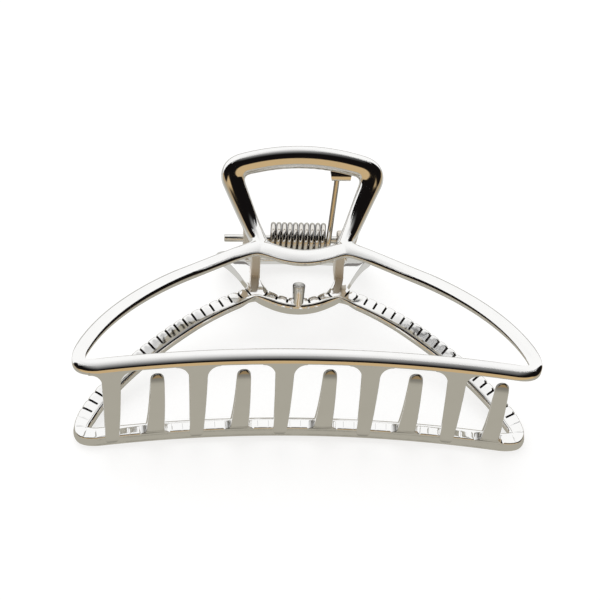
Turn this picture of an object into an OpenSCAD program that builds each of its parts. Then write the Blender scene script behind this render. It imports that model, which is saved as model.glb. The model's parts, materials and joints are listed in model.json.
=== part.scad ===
// Claw hair clip: two cast open-frame jaws, a hinge pin and a torsion spring.
// It lies on its rear jaw, hinge along X, thumb loops towards +Y, front jaw on top.

/* [Half-moon body] */
// Width of a jaw over its outer corners
jaw_w = 105; // [96:1:114]
// Length along the face from the neck joints down to the middle of the lower bar
body_len = 35.4; // [34:0.1:38]
// How much lower the ends of the lower bar lie than its middle
bar_arch = 4.5; // [3:0.1:6]
// Slope at which the shoulders leave the neck
shoulder_slope = 13.8; // [10:0.1:18]
// Reach of the straight start of each shoulder
shoulder_reach = 6.4; // [5:0.1:9]
// Lean of the sides above the lower corners
side_lean = 25.8; // [22:0.1:30]
// Reach of the straight run above each lower corner
side_reach = 19.5; // [17:0.1:22]
// Length that the rounding of a lower corner takes from each side
corner_cut = 6.3; // [5:0.1:7.2]

/* [Neck] */
// Distance between the two points where thumb loop, shoulder and neck arc meet
neck_w = 19.1; // [18:0.1:20.4]
// Dip of the neck arc below those points
neck_dip = 3.7; // [3:0.1:4.4]
// Distance along the face from the narrowest point up to the meeting points
neck_high = 2.3; // [1.6:0.1:3]

/* [Thumb loop] */
// Width of the loop between the middles of its upper corners
loop_w = 34.7; // [33:0.1:36]
// Length along the face from the neck joints to the upper corners
loop_len = 19.9; // [18.8:0.1:21]
// Rise of the top bar in its middle
loop_rise = 3.1; // [2:0.1:4]
// Length that the rounding of an upper corner takes from each side
loop_cut = 3.2; // [2.8:0.1:3.8]

/* [Bars] */
// Width of the shoulder bars
shoulder_bar = 3.1; // [2.7:0.1:3.5]
// Width of the lower bar
lower_bar = 3; // [2.6:0.1:3.4]
// Width of the neck arc
neck_bar = 3.2; // [2.8:0.1:3.6]
// Width of the thumb loop's legs at the neck
leg_bar = 3.4; // [3:0.1:3.8]
// Width of the thumb loop's top bar
loop_bar = 5.2; // [4.6:0.1:5.6]
// Thickness of every bar, from flat inner face to rounded crown
bar_t = 3.2; // [2.9:0.1:3.5]
// Thickness of the neck arc in its middle
neck_t = 4.2; // [3.8:0.1:4.6]
// Height of the flat side walls below the crown
wall_h = 1.7; // [1.4:0.1:2]

/* [Side view] */
// Lean of the thumb loop away from the middle plane
loop_tilt = 42.6; // [40:0.1:45]
// Lean of the body away from the middle plane at the neck
body_tilt = 16.5; // [15:0.1:18]
// Radius of the inner face in the neck bend
neck_bend_r = 28.2; // [26:0.1:31]
// Radius of the belly below the neck
belly_r = 93; // [85:1:105]
// Distance from the hinge axis down to the narrowest point
hinge_high = 11.8; // [11:0.1:12.6]
// Clear gap between the jaws at the narrowest point
neck_gap = 15.2; // [14.4:0.1:16]

/* [Teeth] */
// Distance between neighbouring teeth of one jaw
tooth_pitch = 19.3; // [18:0.1:20]
// Width of a tooth at its root
tooth_root_w = 4.3; // [3.6:0.1:5]
// Width of a tooth before its rounded tip
tooth_tip_w = 3; // [2.6:0.1:3.6]
// Thickness of a tooth at its root
tooth_root_t = 2.3; // [1.9:0.1:2.5]
// Thickness of a tooth before its tip
tooth_tip_t = 1.6; // [1.3:0.1:1.9]
// Radius of the fillets beside each root
tooth_fillet = 3; // [2.4:0.1:3.4]
// Sag of a tooth below the straight line from root to tip
tooth_sag = 1.6; // [1:0.1:2.4]
// How far the tips reach past the inner face of the other jaw
tip_reach = 0.2; // [0.1:0.1:0.8]
// Gap between the tips and the underside of the other jaw's lower bar
tip_gap = 0.4; // [0.3:0.1:1]

/* [Hinge] */
// Diameter of the hinge pin
pin_d = 1.8; // [1.6:0.05:2.2]
// Running clearance round the pin in the front lugs
pin_run = 0.05; // [0.02:0.01:0.1]
// Clear width between the rear jaw's lugs
lug_space = 18.2; // [17.8:0.1:18.8]
// Thickness of a hinge lug
lug_t = 1.9; // [1.6:0.1:2.1]
// Radius of a lug's round end
lug_r = 2.3; // [2:0.1:2.6]
// Gap between neighbouring lugs of the two jaws
lug_gap = 0.4; // [0.3:0.05:0.6]
// Length of pin that stands out of the left lug
pin_over = 4.5; // [3:0.1:6]

/* [Spring] */
// Diameter of the spring wire
wire_d = 1.1; // [0.9:0.05:1.3]
// Mean diameter of the coil
coil_d = 6.9; // [6.3:0.1:7.3]
// Full turns of the coil
coil_turns = 10; // [8:1:10]
// Gap between neighbouring turns
wire_gap = 0.26; // [0.16:0.01:0.28]
// Gap between a spring leg and the thumb loop that it pushes
leg_gap = 0.06; // [0.03:0.01:0.2]
// Length of the leg's end along the thumb loop
leg_end = 5; // [4:0.1:5.6]

/* [Peg and spring tab] */
// Diameter of the rear jaw's neck peg at its end
peg_d = 3; // [2.6:0.1:3.2]
// Diameter of the neck peg at its foot
peg_foot_d = 2.5; // [2:0.1:2.6]
// Length of the neck peg
peg_len = 4.6; // [4:0.1:5.2]
// Lean of the neck peg towards the thumb loops
peg_tilt = 23; // [18:1:28]
// Width of the spring tab under the top bar
tab_w = 5.6; // [4.8:0.1:6]
// Distance of the spring tab from the middle
tab_x = 9.2; // [8.8:0.1:9.6]
// Drop of the spring tab below the top bar
tab_drop = 2.3; // [1.8:0.1:2.8]
// Thickness of the spring tab
tab_t = 0.9; // [0.7:0.1:1.1]

/* [Hidden] */

// Facets of curves
shoulder_steps = 14;
corner_steps = 5;
lower_steps = 12;
leg_steps = 8;
top_steps = 7;
neck_steps = 16;
blend_steps = 4;
crown_steps = 3;
wire_sides = 6;
turn_steps = 18;
round_fn = 48;

// Sizes that follow from the ones above
joint_x = neck_w / 2;
joint_s = neck_high;
lower_s = joint_s - body_len;
corner_x = jaw_w / 2 - shoulder_bar / 2 + corner_inset();
loop_s = joint_s + loop_len;
top_s = loop_s + loop_rise;
bend_up = neck_bend_r * loop_tilt * PI / 180;
bend_down = neck_bend_r * body_tilt * PI / 180;
tooth_count = 5;
tooth_first = -2.26;
leg_aside = 0.8;
coil_pitch = wire_d + wire_gap;
coil_r = coil_d / 2;
coil_end = coil_turns * coil_pitch / 2;
rear_lug_x = lug_space / 2;
front_lug_x = rear_lug_x + lug_t + lug_gap;
pin_end = front_lug_x + lug_t + lug_gap;
tab_s = top_s - loop_bar / 2;
leg_x = tab_x - leg_aside;
silver = [0.86, 0.86, 0.84];
steel = [0.72, 0.72, 0.7];

// The rounded corner stays inside the corner point by this much
function corner_inset() = corner_cut * sin(side_lean) / (1 + sin(side_lean));

// Curves in the unrolled face, where p[0] is X and p[1] runs up the face from the narrowest point
function quad(a, b, c, t) = a * (1 - t) ^ 2 + b * 2 * t * (1 - t) + c * t ^ 2;
function cubic(a, b, c, d, t) =
  a * (1 - t) ^ 3 + b * 3 * t * (1 - t) ^ 2 + c * 3 * t ^ 2 * (1 - t) + d * t ^ 3;
function mirrored(p) = [-p[0], p[1]];
function reversed(list) = [for (i = [len(list) - 1:-1:0]) list[i]];
function both_sides(half) =
  concat(half, [for (i = [len(half) - 2:-1:0]) mirrored(half[i])]);
function both_widths(half) = concat(half, [for (i = [len(half) - 2:-1:0]) half[i]]);
function lower_at(x) = [x, lower_s - bar_arch * (x / corner_x) ^ 2];
function top_at(x) = [x, top_s - loop_rise * (2 * x / loop_w) ^ 2];
function neck_at(x) = [x, joint_s - neck_dip * (1 - (x / joint_x) ^ 2)];
function unit(v) = v / norm(v);
function left_of(v) = [-v[1], v[0]];

joint = [joint_x, joint_s];
corner = lower_at(corner_x);
side_dir = [-sin(side_lean), cos(side_lean)];
side_end = corner + corner_cut * side_dir;
lower_end = lower_at(corner_x - corner_cut);
loop_corner = [loop_w / 2, loop_s];
leg_dir = unit(loop_corner - joint);
leg_top = loop_corner - loop_cut * leg_dir;
top_end = top_at(loop_w / 2 - loop_cut);

shoulder_half = [for (i = [0:shoulder_steps])
  cubic(joint, joint + shoulder_reach * [cos(shoulder_slope), -sin(shoulder_slope)],
    side_end + side_reach * side_dir, side_end, i / shoulder_steps)];
corner_half = [for (i = [1:corner_steps]) quad(side_end, corner, lower_end, i / corner_steps)];
lower_half = [for (i = [1:lower_steps]) lower_at(lower_end[0] * (1 - i / lower_steps))];
body_path = both_sides(concat(shoulder_half, corner_half, lower_half));
body_half_w = both_widths(concat(
  [for (p = shoulder_half) shoulder_bar / 2],
  [for (i = [1:corner_steps]) (shoulder_bar + (lower_bar - shoulder_bar) * i / corner_steps) / 2],
  [for (p = lower_half) lower_bar / 2]));

loop_path = both_sides(concat(
  [for (i = [0:leg_steps]) joint + (leg_top - joint) * i / leg_steps],
  [for (i = [1:corner_steps]) quad(leg_top, loop_corner, top_end, i / corner_steps)],
  [for (i = [1:top_steps]) top_at(top_end[0] * (1 - i / top_steps))]));
loop_half_w = both_widths(concat(
  [for (i = [0:leg_steps]) (leg_bar + (loop_bar - leg_bar) * i / leg_steps) / 2],
  [for (i = [1:corner_steps + top_steps]) loop_bar / 2]));
neck_path = [for (i = [0:neck_steps]) neck_at(joint_x * (1 - 2 * i / neck_steps))];
neck_half_w = [for (p = neck_path) neck_bar / 2];
neck_deep = [for (p = neck_path) 1 + (neck_t / bar_t - 1) * (1 - (p[0] / joint_x) ^ 4)];

// Edges of the bars: where two bars meet at a joint, their edges meet in one point
function path_dir(path, i) =
  unit(path[min(i + 1, len(path) - 1)] - path[max(i - 1, 0)]);
function meet(p, d, q, e) =
  p + d * ((q[0] - p[0]) * e[1] - (q[1] - p[1]) * e[0]) / (d[0] * e[1] - d[1] * e[0]);
function edges_meet(path_a, wide_a, path_b, wide_b) =
  let (d = path_dir(path_a, 0), e = path_dir(path_b, 0))
  meet(joint + left_of(d) * wide_a, d, joint - left_of(e) * wide_b, e);
outer_meet = edges_meet(body_path, shoulder_bar / 2, loop_path, leg_bar / 2);
lower_meet = edges_meet(neck_path, neck_bar / 2, body_path, shoulder_bar / 2);
upper_meet = edges_meet(loop_path, leg_bar / 2, neck_path, neck_bar / 2);
function offset_at(path, wide, side, i) = path[i] + left_of(path_dir(path, i)) * wide[i] * side;
function edge_line(path, wide, side, start) =
  let (n = len(path) - 1, first = offset_at(path, wide, side, blend_steps))
  [for (i = [0:n]) let (k = min(i, n - i))
    k >= blend_steps ? offset_at(path, wide, side, i) :
    let (e = start + (first - start) * k / blend_steps) i < blend_steps ? e : mirrored(e)];

// Side view of the inner face, and a point at height h outside it
function face_angle(s) =
  s > bend_up ? loop_tilt :
  s < -bend_down ? -body_tilt - (s + bend_down) / belly_r * 180 / PI :
  s / neck_bend_r * 180 / PI;
function bend_at(a) = neck_bend_r * [sin(a), 1 - cos(a)];
function face_at(s) =
  let (a = face_angle(s))
  s > bend_up ? bend_at(a) + (s - bend_up) * [cos(a), sin(a)] :
  s < -bend_down ? bend_at(-body_tilt) + belly_r * [-sin(a) - sin(body_tilt), cos(a) - cos(body_tilt)] :
  bend_at(a);
function on_face(p, h) =
  let (f = face_at(p[1]), a = face_angle(p[1]))
  [p[0], f[0] - hinge_high - h * sin(a), f[1] + neck_gap / 2 + h * cos(a)];

// One closed section of a bar, deep times as thick as most: side wall, crown, side wall and flat inner face
function half_crown(p, e, deep) = [for (i = [0:crown_steps - 1]) let (a = 90 * i / crown_steps)
  on_face(p + (e - p) * cos(a), deep * (wall_h + (bar_t - wall_h) * sin(a)))];
function section(p, l, r, deep) = concat(
  [on_face(l, 0)], half_crown(p, l, deep), [on_face(p, deep * bar_t)],
  reversed(half_crown(p, r, deep)), [on_face(r, 0), on_face(p, 0)]);
function bar_points(path, wide, deep, left_start, right_start) =
  let (l = edge_line(path, wide, 1, left_start), r = edge_line(path, wide, -1, right_start))
  [for (i = [0:len(path) - 1]) each section(path[i], l[i], r[i], deep[i])];
function all_plain(path) = [for (p = path) 1];
section_n = 2 * crown_steps + 4;
function tube_faces(rings, n, start) = [for (i = [0:rings - 2], k = [0:n - 1])
  let (a = start + i * n + k, b = start + i * n + (k + 1) % n)
  each [[a, a + n, b], [b, a + n, b + n]]];

body_points = bar_points(body_path, body_half_w, all_plain(body_path), outer_meet, lower_meet);
loop_points = bar_points(loop_path, loop_half_w, all_plain(loop_path), upper_meet, outer_meet);
neck_points = bar_points(neck_path, neck_half_w, neck_deep, lower_meet, upper_meet);
frame_points = concat(body_points, loop_points, neck_points);
frame_faces = concat(
  tube_faces(len(body_path), section_n, 0),
  tube_faces(len(loop_path), section_n, len(body_points)),
  tube_faces(len(neck_path), section_n, len(body_points) + len(loop_points)));

// One tooth: fillets at the root, a gentle sag, and a rounded tip below the other jaw's lower bar
tooth_sink = 0.8;
tooth_inset = 0.06;
fillet_steps = 4;
tooth_steps = 7;
tip_steps = 4;
tooth_edge = 0.3;
tip_turn = 80;
function tooth_x(i) = (tooth_first + i) * tooth_pitch;
function tooth_root(i) = on_face(lower_at(tooth_x(i)) - [0, lower_bar / 2 - tooth_inset], 0);
function tooth_ring(i, u, wide, thick, shift) =
  let (root = tooth_root(i),
    tip_z = -root[2] - tip_reach,
    tip_y = root[1] - tooth_inset - tip_gap - tooth_tip_t,
    z = root[2] + (tip_z - root[2]) * u,
    y = root[1] + (tip_y - root[1]) * max(u, 0) - 4 * tooth_sag * max(u, 0) * (1 - u) + shift,
    w = wide / 2, c = min(tooth_edge, thick / 3, wide / 4), x = tooth_x(i))
  [[x + w, y + thick, z], [x + w, y + c, z], [x + w - c, y, z],
    [x - w + c, y, z], [x - w, y + c, z], [x - w, y + thick, z]];
function tooth_len(i) = 2 * tooth_root(i)[2] + tip_reach;
function width_at(u) = tooth_root_w + (tooth_tip_w - tooth_root_w) * u;
function thick_at(u) = tooth_root_t + (tooth_tip_t - tooth_root_t) * u;
function tooth_points(i) =
  let (long = tooth_len(i), fillet_u = tooth_fillet / long, tip_u = 1 - tooth_tip_w / 2 / long,
    wide = width_at(0) + 2 * tooth_fillet)
  concat(
    tooth_ring(i, -tooth_sink / long, wide, tooth_root_t, 0),
    [for (k = [0:fillet_steps]) let (a = 90 * k / fillet_steps, u = fillet_u * (1 - cos(a)))
      each tooth_ring(i, u, width_at(u) + 2 * tooth_fillet * (1 - sin(a)), thick_at(u), 0)],
    [for (k = [1:tooth_steps]) let (u = fillet_u + (tip_u - fillet_u) * k / tooth_steps)
      each tooth_ring(i, u, width_at(u), thick_at(u), 0)],
    [for (k = [1:tip_steps]) let (a = tip_turn * k / tip_steps, u = tip_u + (1 - tip_u) * sin(a))
      each tooth_ring(i, u, width_at(u) * cos(a), thick_at(u) * cos(a), thick_at(u) * (1 - cos(a)) / 2)]);
tooth_ring_n = 6;
tooth_rings = 1 + (fillet_steps + 1) + tooth_steps + tip_steps;
tooth_faces = concat(
  tube_faces(tooth_rings, tooth_ring_n, 0),
  [[for (k = [0:tooth_ring_n - 1]) k]],
  [[for (k = [tooth_ring_n - 1:-1:0]) (tooth_rings - 1) * tooth_ring_n + k]]);

// The clip lies on the crowns of its rear jaw: tilt and lift follow from the frame's points
function tilted(p, a) = p[1] * sin(a) - p[2] * cos(a);
function lowest(points, a) = min([for (p = points) tilted(p, a)]);
function rest_tilt(a, n) = n == 0 ? a :
  let (d = lowest(loop_points, a) - lowest(body_points, a),
    reach = top_s - lower_s)
  rest_tilt(a - atan(d / reach), n - 1);
tilt_rounds = 4;
lay_tilt = rest_tilt(0, tilt_rounds);
lay_lift = -min(lowest(loop_points, lay_tilt), lowest(body_points, lay_tilt));
function far_y(sign) = sign * max([for (p = concat(frame_points, tooth_points(0)), z = [-1, 1])
  sign * (p[1] * cos(lay_tilt) - z * p[2] * sin(lay_tilt))]);
lay_shift = -(far_y(1) + far_y(-1)) / 2;
module lay_down() {
  translate([0, lay_shift, lay_lift]) rotate([lay_tilt, 0, 0]) children();
}

// A lug: round end about the hinge axis, foot sunk into the meeting point of the bars
lug_sink = 0.8;
lug_foot_start = 4.3;
lug_foot_end = 9.5;
lug_low = on_face([0, joint_s + lug_foot_start], lug_sink);
lug_high = on_face([0, joint_s + lug_foot_end], lug_sink);
module lug(x, bore) {
  translate([x, 0, 0]) rotate([90, 0, 90]) difference() {
    union() {
      cylinder(lug_t, r = lug_r, $fn = round_fn);
      linear_extrude(lug_t) polygon([[lug_low[1], lug_low[2]], [lug_high[1], lug_high[2]],
        lug_r * unit([lug_high[2], -lug_high[1]]), lug_r * unit([-lug_low[2], lug_low[1]])]);
    }
    translate([0, 0, -lug_t]) cylinder(3 * lug_t, r = bore, $fn = round_fn);
  }
}

// A peg on the inner face of the neck arc, wider at its bevelled end
peg_bevel = 0.3;
peg_sink = bar_t / 3;
peg_foot = on_face(neck_at(0), peg_sink);
module neck_peg() {
  translate(peg_foot) rotate([180 + peg_tilt, 0, 0]) rotate_extrude($fn = round_fn)
    polygon([[0, 0], [peg_foot_d / 2, 0], [peg_d / 2, peg_sink + peg_len - peg_bevel],
      [peg_d / 2 - peg_bevel, peg_sink + peg_len], [0, peg_sink + peg_len]]);
}

// A tab that hangs below the top bar, with a round lip, and hides the end of the spring leg
tab_taper = 0.5;
tab_sink = 1;
tab_off = 0.2;
module spring_tab() {
  lip_r = tab_t / 2 + tab_off / 2;
  foot = on_face([0, tab_s], tab_off);
  translate([tab_x, foot[1], foot[2]]) rotate([loop_tilt, 0, 0]) {
    linear_extrude(tab_t) polygon([[-tab_w / 2, tab_sink], [tab_w / 2, tab_sink],
      [tab_w / 2 - tab_taper, -tab_drop], [tab_taper - tab_w / 2, -tab_drop]]);
    translate([tab_taper - tab_w / 2, -tab_drop, tab_t - lip_r]) rotate([0, 90, 0])
      cylinder(tab_w - 2 * tab_taper, r = lip_r, $fn = round_fn);
  }
}

module jaw(lug_x, bore) {
  union() {
    polyhedron(frame_points, frame_faces);
    for (i = [0:tooth_count - 1]) polyhedron(tooth_points(i), tooth_faces);
    lug(lug_x, bore);
    lug(-lug_x - lug_t, bore);
    spring_tab();
  }
}

module front_jaw() {
  color(silver) lay_down() jaw(front_lug_x, pin_d / 2 + pin_run);
}

module rear_jaw() {
  color(silver) lay_down() rotate([0, 180, 0]) union() {
    jaw(rear_lug_x, pin_d / 2);
    neck_peg();
  }
}

pin_bevel = 0.2;
module hinge_pin() {
  long = 2 * pin_end - lug_gap + pin_over;
  color(steel) lay_down() translate([-pin_end - pin_over + lug_gap, 0, 0]) rotate([0, 90, 0])
    rotate_extrude($fn = round_fn) polygon([[0, 0], [pin_d / 2 - pin_bevel, 0], [pin_d / 2, pin_bevel],
      [pin_d / 2, long - pin_bevel], [pin_d / 2 - pin_bevel, long], [0, long]]);
}

// Spring wire: from the rear loop down to the coil, round the pin and up to the front loop
leg_h = -wire_d / 2 - leg_gap;
leg_bend = on_face([leg_x, tab_s - tab_drop], leg_h);
leg_tip = on_face([leg_x, tab_s - tab_drop + leg_end], leg_h);
leg_far = norm([leg_bend[1], leg_bend[2]]);
leave_angle = atan2(leg_bend[2], leg_bend[1]) + acos(coil_r / leg_far);
coil_angle = 360 * coil_turns + 360 - 2 * leave_angle;
coil_steps = round(turn_steps * coil_angle / 360);
leg_points = 3;
function half_turn(p) = [-p[0], p[1], -p[2]];
function coil_at(u) = let (a = 360 * (coil_turns + 1) - leave_angle - coil_angle * u)
  [coil_end * (2 * u - 1), coil_r * cos(a), coil_r * sin(a)];
front_leg = concat(
  [for (k = [1:leg_points]) coil_at(1) + (leg_bend - coil_at(1)) * k / leg_points], [leg_tip]);
wire_path = concat(
  [for (p = reversed(front_leg)) half_turn(p)],
  [for (k = [0:coil_steps]) coil_at(k / coil_steps)],
  front_leg);
function wire_dir(i) = unit(wire_path[min(i + 1, len(wire_path) - 1)] - wire_path[max(i - 1, 0)]);
function wire_ring(i) =
  let (d = wire_dir(i), out = unit(cross(d, [1, 0, 0])), along = cross(out, d))
  [for (k = [0:wire_sides - 1]) let (a = 360 * k / wire_sides)
    wire_path[i] + wire_d / 2 * (out * cos(a) - along * sin(a))];
wire_points = [for (i = [0:len(wire_path) - 1]) each wire_ring(i)];
wire_faces = concat(
  tube_faces(len(wire_path), wire_sides, 0),
  [[for (k = [0:wire_sides - 1]) k]],
  [[for (k = [wire_sides - 1:-1:0]) (len(wire_path) - 1) * wire_sides + k]]);
module torsion_spring() {
  color(steel) lay_down() polyhedron(wire_points, wire_faces);
}

front_jaw();
rear_jaw();
hinge_pin();
torsion_spring();
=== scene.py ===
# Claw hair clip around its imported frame: two cast jaws, hinge pin, torsion spring, studio and camera
import json
import math
import bmesh
import bpy
from mathutils import Matrix, Vector
from mathutils.bvhtree import BVHTree
from mathutils.kdtree import KDTree


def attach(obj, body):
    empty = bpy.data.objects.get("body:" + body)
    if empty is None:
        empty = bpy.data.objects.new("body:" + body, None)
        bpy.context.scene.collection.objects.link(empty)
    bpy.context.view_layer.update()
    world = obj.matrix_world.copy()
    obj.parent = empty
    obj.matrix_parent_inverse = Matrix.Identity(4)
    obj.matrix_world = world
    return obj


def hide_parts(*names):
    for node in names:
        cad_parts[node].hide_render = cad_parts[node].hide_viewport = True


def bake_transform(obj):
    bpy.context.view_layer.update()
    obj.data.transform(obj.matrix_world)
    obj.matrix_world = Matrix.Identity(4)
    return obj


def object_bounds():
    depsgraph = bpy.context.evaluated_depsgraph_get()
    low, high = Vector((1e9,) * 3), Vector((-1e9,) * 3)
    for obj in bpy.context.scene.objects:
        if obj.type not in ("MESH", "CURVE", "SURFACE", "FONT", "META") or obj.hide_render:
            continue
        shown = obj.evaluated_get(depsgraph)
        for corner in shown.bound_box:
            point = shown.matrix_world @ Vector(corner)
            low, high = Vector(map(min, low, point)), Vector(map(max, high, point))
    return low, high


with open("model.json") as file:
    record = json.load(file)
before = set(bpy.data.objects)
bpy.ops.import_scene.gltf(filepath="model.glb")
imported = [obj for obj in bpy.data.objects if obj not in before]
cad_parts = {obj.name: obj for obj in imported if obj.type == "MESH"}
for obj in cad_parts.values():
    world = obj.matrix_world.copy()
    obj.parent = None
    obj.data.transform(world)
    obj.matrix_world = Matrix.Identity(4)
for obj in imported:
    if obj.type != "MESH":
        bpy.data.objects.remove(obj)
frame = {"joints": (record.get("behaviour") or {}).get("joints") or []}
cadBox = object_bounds()
scene = bpy.context.scene
hingePoint = Vector(frame["joints"][0]["pos_m"])
print("frame loaded, hinge at", [round(v, 5) for v in hingePoint])

# side view and outline of one jaw, in millimetres from the hinge axis
clip = {
    "jawWidth": 105.0, "bodyLength": 35.4, "barArch": 4.5,
    "shoulderSlope": 13.8, "shoulderReach": 6.4, "sideLean": 25.8, "sideReach": 19.5, "cornerCut": 6.3,
    "neckWidth": 19.1, "neckDip": 3.7, "neckHigh": 2.3,
    "loopWidth": 34.7, "loopLength": 19.9, "loopRise": 3.1, "loopCut": 3.2,
    "loopTilt": 42.6, "bodyTilt": 16.5, "neckBend": 28.2, "bellyRadius": 93.0,
    "hingeHigh": 11.8, "neckGap": 15.2, "layTilt": 5.39219,
}
clip["jointX"] = clip["neckWidth"] / 2
clip["jointS"] = clip["neckHigh"]
clip["lowerS"] = clip["jointS"] - clip["bodyLength"]
clip["loopS"] = clip["jointS"] + clip["loopLength"]
clip["topS"] = clip["loopS"] + clip["loopRise"]
bendUp = clip["neckBend"] * math.radians(clip["loopTilt"])
bendDown = clip["neckBend"] * math.radians(clip["bodyTilt"])


def faceAngle(s):
    if s > bendUp:
        return math.radians(clip["loopTilt"])
    if s < -bendDown:
        return -math.radians(clip["bodyTilt"]) - (s + bendDown) / clip["bellyRadius"]
    return s / clip["neckBend"]


def faceAt(s):
    angle = faceAngle(s)
    bend = clip["neckBend"]
    if s > bendUp:
        run = s - bendUp
        return (bend * math.sin(angle) + run * math.cos(angle),
                bend * (1 - math.cos(angle)) + run * math.sin(angle))
    if s < -bendDown:
        start = math.radians(clip["bodyTilt"])
        belly = clip["bellyRadius"]
        return (-bend * math.sin(start) + belly * (-math.sin(angle) - math.sin(start)),
                bend * (1 - math.cos(start)) + belly * (math.cos(angle) - math.cos(start)))
    return (bend * math.sin(angle), bend * (1 - math.cos(angle)))


def onFace(p, height):
    # a point at that height outside the inner face, from its place in the unrolled face
    angle = faceAngle(p[1])
    along, out = faceAt(p[1])
    return Vector((p[0], along - clip["hingeHigh"] - height * math.sin(angle),
                   out + clip["neckGap"] / 2 + height * math.cos(angle)))


# from the jaw's own millimetres to metres on the table; the rear jaw is turned half round first
mm = 0.001
layMatrix = (Matrix.Translation(hingePoint) @ Matrix.Rotation(math.radians(clip["layTilt"]), 4, "X")
             @ Matrix.Scale(mm, 4))
halfTurn = Matrix.Rotation(math.pi, 4, "Y")


def bezier(points, t):
    # a point of the curve that those control points draw, of any degree
    while len(points) > 1:
        points = [a.lerp(b, t) for a, b in zip(points, points[1:])]
    return points[0]


def smoothStep(low, high, value):
    t = min(max((value - low) / (high - low), 0), 1)
    return t * t * (3 - 2 * t)


def mirrored(p):
    return Vector((-p[0], p[1]))


def leftOf(v):
    return Vector((-v[1], v[0]))


# points closer than this are merged, in the unit that each piece has at the time
weld = {"frame": 1e-4, "tooth": 1e-5, "fitting": 1e-6, "wire": 1e-8}
# edges that turn by more degrees than this stay sharp
sharp = {"casting": 40, "pin": 40, "wire": 50}


def addObject(name, data):
    made = bpy.data.objects.new(name, data)
    scene.collection.objects.link(made)
    return made


def meshObject(name, vertices, faces, edges=()):
    mesh = bpy.data.meshes.new(name)
    mesh.from_pydata([tuple(v) for v in vertices], edges, faces)
    return addObject(name, mesh)


def cleanMesh(made, distance):
    # doubles merged, faces turned outwards
    shape = bmesh.new()
    shape.from_mesh(made.data)
    bmesh.ops.remove_doubles(shape, verts=shape.verts, dist=distance)
    bmesh.ops.recalc_face_normals(shape, faces=shape.faces)
    shape.to_mesh(made.data)
    shape.free()
    return made


def joinMeshes(name, parts):
    shape = bmesh.new()
    for part in parts:
        shape.from_mesh(part.data)
        bpy.data.objects.remove(part)
    mesh = bpy.data.meshes.new(name)
    shape.to_mesh(mesh)
    shape.free()
    return addObject(name, mesh)


def evaluatedMesh(made):
    depsgraph = bpy.context.evaluated_depsgraph_get()
    return bpy.data.meshes.new_from_object(made.evaluated_get(depsgraph))


def smoothShading(mesh, angle):
    mesh.shade_smooth()
    mesh.set_sharp_from_angle(angle=math.radians(angle))


def paintPoints(mesh, name, kind, field, values):
    # one value for each vertex, in an attribute that materials or trees read
    mesh.attributes.new(name, kind, "POINT").data.foreach_set(field, values)


# nodes of materials and of geometry trees

def newTree(name, kind, inputs, outputs):
    tree = bpy.data.node_groups.new(name, kind)
    for side, sockets in (("INPUT", inputs), ("OUTPUT", outputs)):
        for label, socketKind in sockets:
            tree.interface.new_socket(label, in_out=side, socket_type=socketKind)
    return tree, tree.nodes.new("NodeGroupInput"), tree.nodes.new("NodeGroupOutput")


def newNode(tree, kind, values=None, **settings):
    # a node with its settings, and values on its inputs
    node = tree.nodes.new(kind)
    for key, value in settings.items():
        setattr(node, key, value)
    for key, value in (values or {}).items():
        node.inputs[key].default_value = value
    return node


def nodeLink(tree, source, output, target, inputName):
    tree.links.new(source.outputs[output], target.inputs[inputName])


# haze of handling, and the slow waviness under it with the depth of its relief in metres
plating = {
    "hazeDetail": 3, "hazeFrom": 0.35, "hazeTo": 0.7, "waveScale": 320, "waveDetail": 1, "relief": 0.0001,
}
# sockets of a Mix node: the two that it mixes, and the result
mixSockets = {"RGBA": (6, 7, 2), "FLOAT": (2, 3, 0)}


def platedFinishGroup():
    # colour, roughness and height of a plated casting or a drawn wire
    group, given, result = newTree(
        "platedFinish", "ShaderNodeTree",
        [("Vector", "NodeSocketVector"), ("Haze Scale", "NodeSocketFloat"),
         ("Roughness Low", "NodeSocketFloat"), ("Roughness High", "NodeSocketFloat"),
         ("Bright", "NodeSocketColor"), ("Dull", "NodeSocketColor")],
        [("Color", "NodeSocketColor"), ("Roughness", "NodeSocketFloat"), ("Height", "NodeSocketFloat")])
    haze = newNode(group, "ShaderNodeTexNoise", {"Detail": plating["hazeDetail"]})
    spread = newNode(group, "ShaderNodeMapRange",
                     {"From Min": plating["hazeFrom"], "From Max": plating["hazeTo"]})
    tint = newNode(group, "ShaderNodeMix", data_type="RGBA")
    wave = newNode(group, "ShaderNodeTexNoise",
                   {"Scale": plating["waveScale"], "Detail": plating["waveDetail"]})
    first, second, mixed = mixSockets["RGBA"]
    nodeLink(group, given, "Vector", haze, "Vector")
    nodeLink(group, given, "Haze Scale", haze, "Scale")
    nodeLink(group, haze, "Fac", spread, "Value")
    nodeLink(group, given, "Roughness Low", spread, "To Min")
    nodeLink(group, given, "Roughness High", spread, "To Max")
    nodeLink(group, haze, "Fac", tint, "Factor")
    nodeLink(group, given, "Bright", tint, first)
    nodeLink(group, given, "Dull", tint, second)
    nodeLink(group, given, "Vector", wave, "Vector")
    nodeLink(group, tint, mixed, result, "Color")
    nodeLink(group, spread, "Result", result, "Roughness")
    nodeLink(group, wave, "Fac", result, "Height")
    return group


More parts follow.
